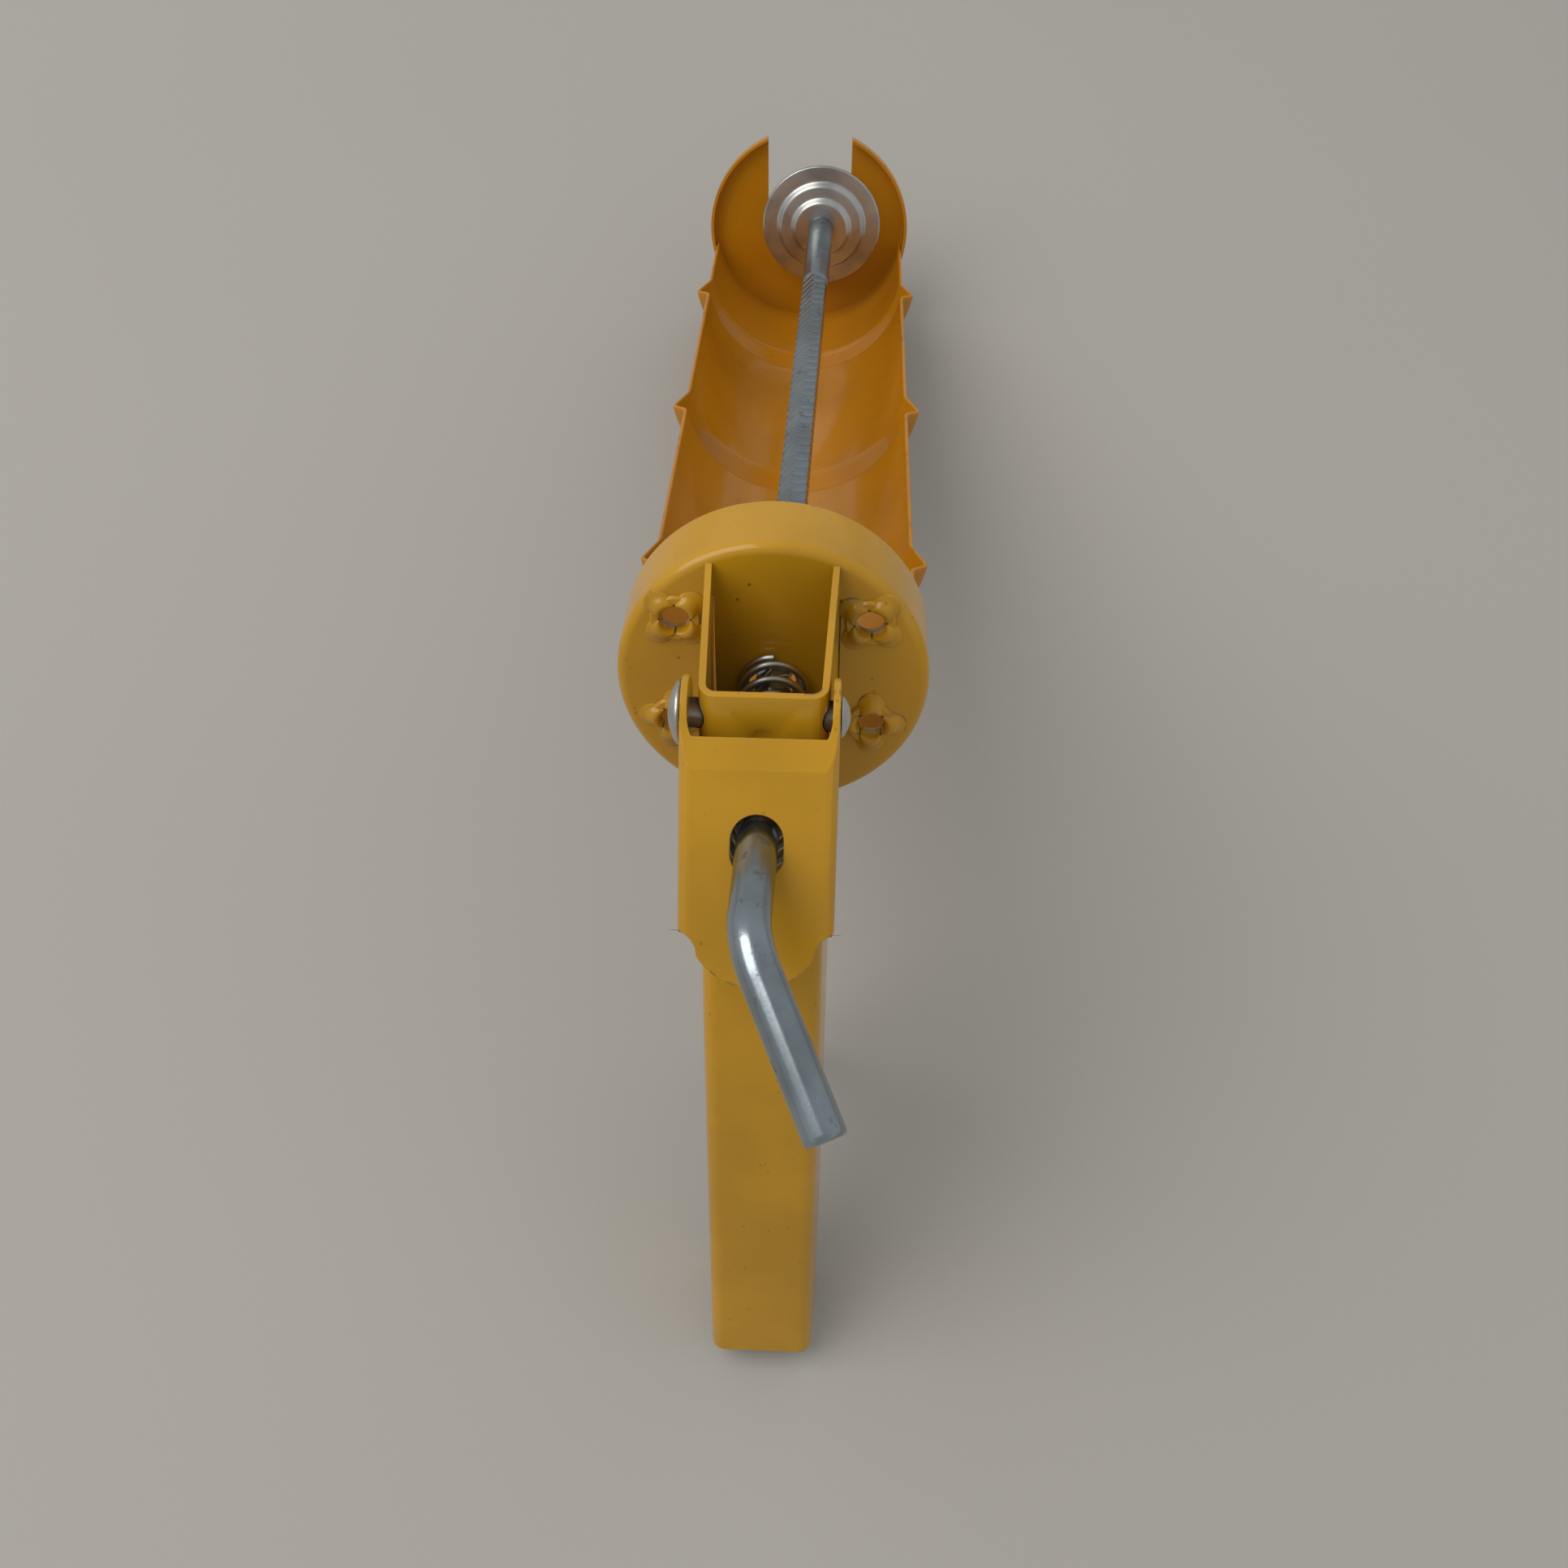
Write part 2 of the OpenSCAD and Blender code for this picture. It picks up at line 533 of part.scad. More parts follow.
module lock_lever() color("gold") stand() translate([-lever_x, lever_side, 0]) rotate([0, lever_lean, 0])
    difference() {
        intersection() {
            translate([0, 0, -40]) linear_extrude(80) polygon(channel_points(lever_w, lever_r, 30));
            plate(60) lever_side_view();
        }
        for (s = [0, 1]) mirror([0, s, 0]) rotate([90, 0, 90]) linear_extrude(4, center = true) beside_tongue();
        for (t = [-1, 1]) translate([0, 0, t * (lever_slot_l - lever_slot_w) / 2])
            along() cylinder(d = lever_slot_w, h = 10, center = true);
        cube([10, lever_slot_w, lever_slot_l - lever_slot_w], center = true);
        translate([pivot_d, 0, pivot_t]) across() cylinder(r = rivet_r + running, h = 60, center = true);
    }

cradle();
nose_cap();
rear_cap();
handle_frame();
trigger();
trigger_rivet();
plunger_rod();
piston_disc();
piston_washer();
drive_plate_front();
drive_plate_rear();
return_spring();
lock_lever();
lock_spring();
lever_rivet();
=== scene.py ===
"""Looks for a half-barrel caulking gun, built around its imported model.

The gun's own frame runs +X along the barrel to the nose, +Z up, with its origin on the barrel's
axis at the rear cap's back face. Sizes in that frame are in millimetres.
"""
import json
import math

import bmesh
import bpy
import numpy as np
from bpy.props import FloatProperty, FloatVectorProperty, IntProperty, PointerProperty
from mathutils import Matrix, Vector


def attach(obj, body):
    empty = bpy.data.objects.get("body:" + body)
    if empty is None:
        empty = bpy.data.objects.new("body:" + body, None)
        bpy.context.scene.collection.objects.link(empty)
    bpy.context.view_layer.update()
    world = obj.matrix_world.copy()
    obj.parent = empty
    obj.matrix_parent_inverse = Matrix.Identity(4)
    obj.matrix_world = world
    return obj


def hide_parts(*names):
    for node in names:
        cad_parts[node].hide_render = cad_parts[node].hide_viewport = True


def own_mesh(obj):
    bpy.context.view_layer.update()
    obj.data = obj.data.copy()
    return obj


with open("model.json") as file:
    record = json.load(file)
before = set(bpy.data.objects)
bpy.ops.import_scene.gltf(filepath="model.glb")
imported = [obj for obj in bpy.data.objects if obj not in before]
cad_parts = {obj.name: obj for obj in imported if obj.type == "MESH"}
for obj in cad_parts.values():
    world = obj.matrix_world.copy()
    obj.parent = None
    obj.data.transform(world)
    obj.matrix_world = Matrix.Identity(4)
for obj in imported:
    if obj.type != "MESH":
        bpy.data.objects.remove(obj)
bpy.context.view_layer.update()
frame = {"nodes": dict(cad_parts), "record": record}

bl_info = {
    "name": "Caulking gun",
    "version": (1, 0, 0),
    "blender": (4, 5, 0),
    "location": "View3D > Sidebar > Gun",
    "description": "Builds the painted, plated and bright pieces of a half-barrel caulking gun",
    "category": "Object",
}

MM = 0.001
NOSE_X = 227.85
ROD_PIVOT_X = -16.2


# ---------------------------------------------------------------- places

def named(kind, name):
    """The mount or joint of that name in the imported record."""
    held = frame["record"] if kind == "mounts" else frame["record"]["behaviour"]
    return next(entry for entry in held[kind] if entry["name"] == name)


def gun_axes():
    """Origin and axes of the gun's frame: X from the nozzle slot's mount, Y level, Z across both."""
    nose = named("mounts", "nozzle_slot")
    x = np.array(nose["axis"], float)
    x /= np.linalg.norm(x)
    y = np.array([0.0, 1.0, 0.0])
    return np.array(nose["pos_m"]) - NOSE_X * MM * x, np.array([x, y, np.cross(x, y)])


def rod_axes():
    """Origin and axes of the plunger rod's frame: X along the rod's slide, Y level with the gun."""
    _, gun = gun_axes()
    x = np.array(named("joints", "rod_slide")["axis"], float)
    x /= np.linalg.norm(x)
    y = np.cross(gun[2], x)
    y /= np.linalg.norm(y)
    pivot = np.array(named("joints", "rod_spin")["pos_m"])
    return pivot - ROD_PIVOT_X * MM * x, np.array([x, y, np.cross(x, y)])


GUN = gun_axes()
ROD = rod_axes()


def placed(points, axes):
    """Points in millimetres along a frame's three axes, moved to the shared frame in metres."""
    origin, turn = axes
    return origin + (np.asarray(points, float) * MM) @ turn


# ---------------------------------------------------------------- meshes

def grid_faces(rows, columns, ring):
    """Quads of a grid of points; ring joins the last column to the first."""
    i, k = np.meshgrid(np.arange(rows - 1), np.arange(columns if ring else columns - 1), indexing="ij")
    n = (k + 1) % columns
    quads = np.stack([i * columns + k, i * columns + n, (i + 1) * columns + n, (i + 1) * columns + k], -1)
    return quads.reshape(-1, 4)


def enclosed(points, quads):
    """Signed volume under the quads, which is negative where they point inwards."""
    a, b, c, d = (points[quads[:, k]] for k in range(4))
    cross = np.cross(b, c) + np.cross(c, d)
    return float((a * cross).sum())


def new_object(name, points, faces, body, sharp=35.0):
    """A shaded object at the origin, riding on a body, from points in metres."""
    mesh = bpy.data.meshes.new(name)
    mesh.from_pydata(points.tolist(), [], faces)
    mesh.validate()
    mesh.shade_smooth()
    mesh.set_sharp_from_angle(angle=math.radians(sharp))
    thing = bpy.data.objects.new(name, mesh)
    bpy.context.scene.collection.objects.link(thing)
    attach(thing, body)
    return thing


def tube(name, grid, axes, body, sharp=35.0):
    """A closed piece from a (rows, columns, 3) grid whose columns run round; both ends are capped."""
    rows, columns, _ = grid.shape
    points = placed(grid.reshape(-1, 3), axes)
    quads = grid_faces(rows, columns, True)
    first = list(range(columns))
    last = list(range((rows - 1) * columns, rows * columns))
    if enclosed(points - points.mean(0), quads) < 0:
        faces = quads[:, ::-1].tolist() + [first, last[::-1]]
    else:
        faces = quads.tolist() + [first[::-1], last]
    return new_object(name, points, faces, body, sharp)


def lathe(name, profile, axes, centre, body, turns=96, sharp=35.0):
    """A profile of (distance along, radius) points turned about a line along the frame's X axis.

    A profile that comes back to its start gives a ring, and one that ends on the axis a solid."""
    profile = np.array(profile, float)
    angle = np.linspace(0, 2 * np.pi, turns, endpoint=False)
    along = np.repeat(profile[:, :1], turns, 1)
    grid = np.stack([along, profile[:, 1:] * np.cos(angle), profile[:, 1:] * np.sin(angle)], -1) + centre
    rows = len(profile)
    ringed = np.allclose(profile[0], profile[-1])
    if not ringed:
        return tube(name, grid, axes, body, sharp)
    points = placed(grid[:-1].reshape(-1, 3), axes)
    quads = grid_faces(rows, turns, True) % ((rows - 1) * turns)
    if enclosed(points - points.mean(0), quads) < 0:
        quads = quads[:, ::-1]
    return new_object(name, points, quads.tolist(), body, sharp)


def edged(node, name, body, width, sharp=32.0):
    """A merged copy of a CAD node; with a width, its flat faces are joined and its sharp edges bevelled."""
    mesh = frame["nodes"][node].data.copy()
    mesh.name = name
    mesh.materials.clear()
    shape = bmesh.new()
    shape.from_mesh(mesh)
    bmesh.ops.remove_doubles(shape, verts=shape.verts, dist=2e-6)
    if width:
        bmesh.ops.dissolve_limit(shape, angle_limit=math.radians(0.4), verts=shape.verts, edges=shape.edges)
    shape.to_mesh(mesh)
    shape.free()
    mesh.shade_smooth()
    mesh.set_sharp_from_angle(angle=math.radians(sharp))
    thing = bpy.data.objects.new(name, mesh)
    bpy.context.scene.collection.objects.link(thing)
    if width:
        bevel = thing.modifiers.new("edges", "BEVEL")
        bevel.width = width * MM
        bevel.segments = 2
        bevel.limit_method = "ANGLE"
        bevel.angle_limit = math.radians(sharp)
        bevel.use_clamp_overlap = False
        bevel.harden_normals = True
        bevel.miter_outer = "MITER_ARC"
    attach(thing, body)
    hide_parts(node)
    return thing


# ---------------------------------------------------------------- shaders

class Number:
    """A value socket that arithmetic can be written with: each operator adds a Math node."""

    def __init__(self, tree, socket):
        self.tree = tree
        self.socket = socket

    def math(self, operation, *values):
        node = self.tree.nodes.new("ShaderNodeMath")
        node.operation = operation
        for slot, value in zip(node.inputs, values):
            if isinstance(value, Number):
                self.tree.links.new(value.socket, slot)
            else:
                slot.default_value = value
        return Number(self.tree, node.outputs[0])

    def __add__(self, other):
        return self.math("ADD", self, other)

    def __sub__(self, other):
        return self.math("SUBTRACT", self, other)

    def __rsub__(self, other):
        return self.math("SUBTRACT", other, self)

    def __mul__(self, other):
        return self.math("MULTIPLY", self, other)

    def __pow__(self, other):
        return self.math("POWER", self, other)

    __radd__ = __add__
    __rmul__ = __mul__

    def least(self, other):
        return self.math("MINIMUM", self, other)

    def most(self, other):
        return self.math("MAXIMUM", self, other)

    def steps(self, low, high):
        """0 below low, 1 above high and smooth between them; low may be the greater one."""
        node = self.tree.nodes.new("ShaderNodeMapRange")
        node.interpolation_type = "SMOOTHSTEP"
        self.tree.links.new(self.socket, node.inputs["Value"])
        turned = low > high
        node.inputs["From Min"].default_value = high if turned else low
        node.inputs["From Max"].default_value = low if turned else high
        node.inputs["To Min"].default_value = 1.0 if turned else 0.0
        node.inputs["To Max"].default_value = 0.0 if turned else 1.0
        return Number(self.tree, node.outputs["Result"])


class Finish:
    """A material under construction: its node tree, its shader and the coordinates of its surface."""

    def __init__(self, name, **constants):
        self.material = bpy.data.materials.new(name)
        self.material.use_nodes = True
        self.tree = self.material.node_tree
        self.shader = self.tree.nodes["Principled BSDF"]
        for socket, value in constants.items():
            self.shader.inputs[socket.replace("_", " ")].default_value = value
        self.place = self.node("ShaderNodeTexCoord").outputs["Object"]

    def node(self, kind, settings=None, **values):
        """One node: settings first, then its input sockets, by name with spaces as underscores."""
        made = self.tree.nodes.new(kind)
        for key, value in (settings or {}).items():
            setattr(made, key, value)
        for key, value in values.items():
            slot = made.inputs[key.replace("_", " ")]
            if isinstance(value, Number):
                value = value.socket
            if isinstance(value, bpy.types.NodeSocket):
                self.tree.links.new(value, slot)
            else:
                slot.default_value = value
        return made

    def number(self, socket):
        return Number(self.tree, socket)

    def noise(self, scale, detail=2.0, roughness=0.5, place=None, distortion=0.0):
        """Noise from 0 to 1; scale is in features a metre."""
        made = self.node("ShaderNodeTexNoise", Vector=place or self.place, Scale=scale, Detail=detail,
            Roughness=roughness, Distortion=distortion)
        return self.number(made.outputs["Fac"])

    def cells(self, scale):
        """Distance to the nearest of a cloud of scattered points, from 0 to about 1."""
        made = self.node("ShaderNodeTexVoronoi", Vector=self.place, Scale=scale)
        return self.number(made.outputs["Distance"])

    def stretched(self, axis, share):
        """The coordinates with their part along an axis cut down to a share, for marks that run along it."""
        along = self.node("ShaderNodeVectorMath", {"operation": "DOT_PRODUCT"})
        self.tree.links.new(self.place, along.inputs[0])
        along.inputs[1].default_value = axis
        pull = self.node("ShaderNodeVectorMath", {"operation": "SCALE"}, Scale=self.number(along.outputs["Value"]))
        pull.inputs[0].default_value = [(share - 1.0) * part for part in axis]
        moved = self.node("ShaderNodeVectorMath", {"operation": "ADD"})
        self.tree.links.new(self.place, moved.inputs[0])
        self.tree.links.new(pull.outputs["Vector"], moved.inputs[1])
        return moved.outputs["Vector"]

    def far_from(self, point):
        """Distance from a point of the shared frame, in metres."""
        made = self.node("ShaderNodeVectorMath", {"operation": "DISTANCE"})
        self.tree.links.new(self.place, made.inputs[0])
        made.inputs[1].default_value = point
        return self.number(made.outputs["Value"])

    def edge(self, width):
        """1 on edges sharper than the width given in metres, and 0 on flat ground."""
        turned = self.node("ShaderNodeBevel", {"samples": 4}, Radius=width).outputs["Normal"]
        flat = self.node("ShaderNodeNewGeometry").outputs["Normal"]
        dot = self.node("ShaderNodeVectorMath", {"operation": "DOT_PRODUCT"})
        self.tree.links.new(turned, dot.inputs[0])
        self.tree.links.new(flat, dot.inputs[1])
        return self.number(dot.outputs["Value"]).steps(0.995, 0.9)

    def mix(self, share, first, second):
        """The first colour where share is 0, the second where it is 1."""
        made = self.node("ShaderNodeMix", {"data_type": "RGBA"})
        for slot, value in zip((made.inputs[0], made.inputs[6], made.inputs[7]), (share, first, second)):
            if isinstance(value, Number):
                value = value.socket
            if isinstance(value, bpy.types.NodeSocket):
                self.tree.links.new(value, slot)
            else:
                slot.default_value = value if isinstance(value, float) else (*value[:3], 1.0)
        return made.outputs[2]

    def feed(self, socket, value):
        self.tree.links.new(value.socket if isinstance(value, Number) else value, self.shader.inputs[socket])

    def bump(self, height, strength, distance):
        made = self.node("ShaderNodeBump", Height=height, Strength=strength, Distance=distance)
        self.feed("Normal", made.outputs["Normal"])


def powder_coat(name, colour, deep, chips=1.0, splits=False):
    """Glossy powder coat: orange peel, cloudy tone, dust specks, painted shade round the rear cap between the frame
    walls, dull scuffs and chipped edges.

    With splits, the piece's own "split" attribute paints shade into the splits between its petals."""
    coat = Finish(name, Specular_IOR_Level=0.32, Coat_Roughness=0.06)
    cloud = coat.noise(38.0, 3.0)
    grime = coat.noise(90.0, 6.0, 0.65)
    tone = coat.mix(cloud.steps(0.35, 0.7), colour, deep)
    # painted shade: a falloff round a point on the rear cap's back face, between the frame walls, that darkens the
    # paint there and thickens the dust specks
    cap_shade_and_dust = coat.far_from(tuple(placed([-3.0, 0.0, 8.0], GUN))).steps(0.026, 0.006)
    specks = coat.cells(420.0).steps(0.16, 0.10) * coat.noise(130.0).steps(0.52, 0.6)
    specks = specks * (0.35 + cap_shade_and_dust * 0.65).least(1.0)
    tone = coat.mix(specks * 0.8, tone, (0.03, 0.022, 0.012))
    # painted shade round the rear cap, broken up by the grime noise
    tone = coat.mix(cap_shade_and_dust * grime.steps(0.55, 0.8) * 0.15, tone, (0.05, 0.04, 0.02))
    tone = coat.mix(grime.steps(0.62, 0.85) * 0.25, tone, (0.13, 0.085, 0.02))
    chip = (coat.edge(0.0008) * coat.noise(210.0, 4.0, 0.6).steps(0.60, 0.66) * chips).least(1.0)
    if splits:
        # painted shade in the splits between the clinch's petals
        split_shade = coat.number(coat.node("ShaderNodeAttribute", {"attribute_name": "split"}).outputs["Fac"])
        tone = coat.mix(split_shade, tone, (0.02, 0.012, 0.006))
    coat.feed("Base Color", coat.mix(chip, tone, (0.11, 0.10, 0.09)))
    coat.feed("Metallic", chip * 0.6)
    scuffs = coat.noise(55.0, 5.0, 0.7).steps(0.5, 0.8)
    coat.feed("Roughness", 0.21 + scuffs * 0.12 + chip * 0.3)
    coat.feed("Coat Weight", (0.24 - chip * 0.24).most(0.0))
    peel = coat.noise(620.0, 1.5) * 0.6 + coat.noise(210.0, 2.0) * 0.8 - chip * 1.6
    coat.bump(peel, 0.22, 0.00012)
    return coat.material


def zinc_plate(name, colour, axis, wear=1.0):
    """Zinc-plated bar: bluish, with drawn lines along it, cloudy passivation and darker handling marks."""
    zinc = Finish(name, Metallic=1.0)
    drawn = zinc.noise(2600.0, 3.0, 0.6, place=zinc.stretched(axis, 0.02))
    cloud = zinc.noise(60.0, 4.0, 0.6)
    spots = zinc.noise(330.0, 3.0, 0.6).steps(0.6, 0.72) * wear
    tone = zinc.mix(cloud.steps(0.35, 0.68), colour, tuple(0.72 * c for c in colour))
    tone = zinc.mix(cloud.steps(0.6, 0.8) * 0.3, tone, (0.34, 0.33, 0.22))
    tone = zinc.mix(spots * 0.55, tone, (0.10, 0.10, 0.10))
    zinc.feed("Base Color", tone)
    zinc.feed("Roughness", 0.13 + drawn * 0.10 + cloud * 0.08 + spots * 0.2)
    zinc.bump(drawn * 0.7 + zinc.noise(900.0) * 0.3, 0.16, 0.00006)
    return zinc.material


def bright_steel(name, colour, rust=0.4):
    """Bright pressed or coiled steel: fine scratches, a little tarnish and specks of rust."""
    steel = Finish(name, Metallic=1.0)
    scratch = steel.noise(2100.0, 4.0, 0.7, distortion=0.6)
    cloud = steel.noise(110.0, 4.0)
    spot = steel.cells(500.0).steps(0.2, 0.08) * steel.noise(160.0).steps(0.5, 0.62) * rust
    tone = steel.mix(cloud.steps(0.4, 0.7), colour, tuple(0.66 * c for c in colour))
    steel.feed("Base Color", steel.mix(spot, tone, (0.14, 0.06, 0.025)))
    steel.feed("Roughness", 0.2 + scratch * 0.14 + cloud * 0.16 + spot * 0.3)
    steel.feed("Metallic", 1.0 - spot * 0.7)
    steel.bump(scratch, 0.1, 0.00005)
    return steel.material


def paper(name, colour):
    """Matt paper floor with a faint tone of its own."""
    sheet = Finish(name, Roughness=0.9, Specular_IOR_Level=0.15)
    tone = sheet.noise(3.0, 2.0).steps(0.3, 0.7) * 0.5 + sheet.noise(700.0, 2.0) * 0.5
    sheet.feed("Base Color", sheet.mix(tone, tuple(0.97 * c for c in colour), tuple(1.03 * c for c in colour)))
    return sheet.material


def coloured(thing, material):
    """Gives a piece its one material."""
    thing.data.materials.clear()
    thing.data.materials.append(material)
    return thing


# ---------------------------------------------------------------- settings

class CaulkingCradle(bpy.types.PropertyGroup):
    """Half-round cradle of thin sheet."""

    radius: FloatProperty(name="Radius", description="Outside radius, mm", default=27.15, min=20, max=35)
    sheet: FloatProperty(name="Sheet", description="Thickness of the sheet, mm", default=0.9, min=0.5, max=2)
    rear: FloatProperty(name="Rear end", description="Where it starts, mm", default=2.45)
    front: FloatProperty(name="Front end", description="Where it ends, mm", default=227.35)
    half: FloatProperty(name="Half angle", description="From the bottom to a long edge, degrees", default=79.8)
    rib: FloatProperty(name="Rib height", description="Gain in radius, mm", default=3.0, min=0, max=5)
    first: FloatProperty(name="First rib", description="From the back face, mm", default=50.0)
    pitch: FloatProperty(name="Rib pitch", description="From rib to rib, mm", default=70.6)


class CaulkingRod(bpy.types.PropertyGroup):
    """Plunger rod, its flats and its bent tail."""

    radius: FloatProperty(name="Radius", description="Of the round rod, mm", default=3.4, min=2, max=6)
    flats: FloatProperty(name="Across flats", description="Of the six flats, mm", default=5.9, min=4, max=8)
    flats_from: FloatProperty(name="Flats from", description="Rear end of the flats, mm", default=-26.0)
    flats_to: FloatProperty(name="Flats to", description="Front end of the flats, mm", default=176.0)
    notch: FloatProperty(name="Notch depth", description="Of the slanting grip marks, mm", default=0.3, min=0)
    notch_pitch: FloatProperty(name="Notch pitch", description="From mark to mark, mm", default=3.4, min=0.5)
    bend_x: FloatProperty(name="Bend", description="Where the tail's bend starts, mm", default=-60.0)
    bend_r: FloatProperty(name="Bend radius", description="To the centre line, mm", default=13.0)
    bend_angle: FloatProperty(name="Bend angle", description="Degrees", default=45.0)
    tail: FloatProperty(name="Tail", description="Straight end, mm", default=26.0)
    turn: FloatProperty(name="Tail turn", description="From down towards the right, degrees", default=36.0)
    shoulder: FloatProperty(name="Shoulder", description="Where the neck starts, mm", default=213.94)


class CaulkingDrive(bpy.types.PropertyGroup):
    """Springs and piston."""

    piston_x: FloatProperty(name="Piston", description="Rear face of the piston's rim, mm", default=217.0)
    piston_r: FloatProperty(name="Piston radius", description="Outside, mm", default=16.5, min=10, max=25)
    disc: FloatProperty(name="Disc sheet", description="Thickness, mm", default=1.2)
    rise: FloatProperty(name="Disc rise", description="Of its stepped middle, mm", default=3.0)
    return_d: FloatProperty(name="Return spring", description="Outside diameter, mm", default=12.6)
    return_wire: FloatProperty(name="Return wire", description="Thickness, mm", default=1.4)
    return_turns: FloatProperty(name="Return turns", description="Turns of the coil", default=5.5)
    lock_d: FloatProperty(name="Lock spring", description="Outside diameter, mm", default=11.0)
    lock_wire: FloatProperty(name="Lock wire", description="Thickness, mm", default=1.1)
    lock_turns: FloatProperty(name="Lock turns", description="Turns of the coil", default=3.5)


class CaulkingLooks(bpy.types.PropertyGroup):
    """Colours."""

    paint: FloatVectorProperty(name="Paint", description="Outside powder coat", subtype="COLOR", size=3,
        default=(0.47, 0.235, 0.009))
    # a more orange copy of the paint: painted light reflected round inside the barrel, used on the cradle and the nose
    # cap
    paint_interreflected: FloatVectorProperty(name="Deep paint", description="Inside the barrel", subtype="COLOR", size=3,
        default=(0.46, 0.175, 0.004))
    zinc: FloatVectorProperty(name="Zinc", description="Plated rod", subtype="COLOR", size=3,
        default=(0.36, 0.41, 0.44))
    steel: FloatVectorProperty(name="Steel", description="Bright steel", subtype="COLOR", size=3,
        default=(0.62, 0.61, 0.58))
    floor: FloatVectorProperty(name="Floor", description="Paper below the gun", subtype="COLOR", size=3,
        default=(0.36, 0.335, 0.30))


class CaulkingStage(bpy.types.PropertyGroup):
    """Camera and lamps."""

    camera: FloatVectorProperty(name="Camera", description="Where it stands", subtype="TRANSLATION", unit="LENGTH",
        size=3, default=(-0.2142, -0.0108, 0.3605))
    view: FloatVectorProperty(name="View", description="Which way it looks", subtype="DIRECTION", size=3,
        default=(0.4732, 0.0283, -0.8805))
    right: FloatVectorProperty(name="Right", description="Its right-hand side", subtype="DIRECTION", size=3,
        default=(0.0398, -0.9992, -0.0107))
    lens: FloatProperty(name="Lens", description="Focal length on a 36 mm sensor, mm", default=37.13, min=10)
    sky: FloatProperty(name="Sky", description="Strength of the even light", default=0.78, min=0)
    key: FloatProperty(name="Key lamp", description="Power of the large lamp", unit="POWER", default=7.0, min=0)


# ---------------------------------------------------------------- operators

def rib_height(x, settings):
    """Gain in radius along the barrel: each rib is steep behind and long in front, its corners eased
    by a running mean."""
    near, far = 2.3, 7.2
    line_x = np.array([-near - 0.6, -near, -0.4, 0.0, 0.7, far - 1.2, far])
    line_y = np.array([0.0, 0.3, settings.rib - 0.4, settings.rib, settings.rib - 0.15, 0.3, 0.0])
    total = np.zeros_like(x)
    ease = np.linspace(-0.5, 0.5, 7)
    for k in range(3):
        centre = settings.first + k * settings.pitch
        total += sum(np.interp(x - centre + d, line_x, line_y) for d in ease) / len(ease)
    return total


class CAULK_OT_cradle(bpy.types.Operator):
    """Ribbed cradle: its section, an arc of sheet with rounded long edges, is carried along the barrel
    while the rib line changes its radius."""

    bl_idname = "caulk.cradle"
    bl_label = "Cradle"

    def execute(self, context):
        s = context.scene.caulk_cradle
        x = np.unique(np.concatenate([np.linspace(s.rear, s.front, 160)] + [
            np.linspace(s.first + k * s.pitch - 4, s.first + k * s.pitch + 9, 70) for k in range(3)]))
        half = math.radians(s.half)
        edge = s.sheet / 2 / s.radius
        arc = np.linspace(-half + edge, half - edge, 120)
        turn = np.linspace(0, np.pi, 7)[1:-1]
        angle = np.concatenate([arc, half - edge + edge * np.sin(turn), arc[::-1], -half + edge - edge * np.sin(turn)])
        inward = np.concatenate([np.zeros(120), (1 - np.cos(turn)) / 2, np.ones(120), (1 + np.cos(turn)) / 2])
        outer = s.radius + rib_height(x, s)
        inner = s.radius - s.sheet + rib_height(x - s.sheet / 2, s)
        radius = outer[:, None] * (1 - inward) + inner[:, None] * inward
        grid = np.stack([np.repeat(x[:, None], len(angle), 1), radius * np.sin(angle), -radius * np.cos(angle)], -1)
        piece = tube("cradle_sheet", grid, GUN, "frame", 50)
        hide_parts("cradle")
        looks = context.scene.caulk_looks
        # the cradle takes the more orange copy of the paint, painted light reflected inside the barrel
        coloured(piece, powder_coat("barrel_paint", looks.paint_interreflected, [c * 0.86 for c in looks.paint_interreflected]))
        return {"FINISHED"}


class CAULK_OT_sheet_metal(bpy.types.Operator):
    """Caps, handle frame, trigger and lock lever: the pressed sheets with their edges eased."""

    bl_idname = "caulk.sheet_metal"
    bl_label = "Caps, handle, trigger and lever"

    def execute(self, context):
        looks = context.scene.caulk_looks
        paint = powder_coat("gun_paint", looks.paint, [c * 0.84 for c in looks.paint])
        for node, body, width, slot in (
            ("nose_cap", "frame", 0.15, "orange_paint"),
            ("rear_cap", "frame", 0.0, "yellow_paint"),
            ("handle_frame", "frame", 0.15, "yellow_paint"),
            ("trigger", "trigger", 0.2, "yellow_paint"),
            ("lock_lever", "lever", 0.25, "yellow_paint"),
        ):
            # the nose cap takes the cradle's more orange paint, painted light reflected inside the barrel
            finish = bpy.data.materials["barrel_paint"] if slot == "orange_paint" else paint
            coloured(edged(node, node + "_sheet", body, width), finish)
        return {"FINISHED"}


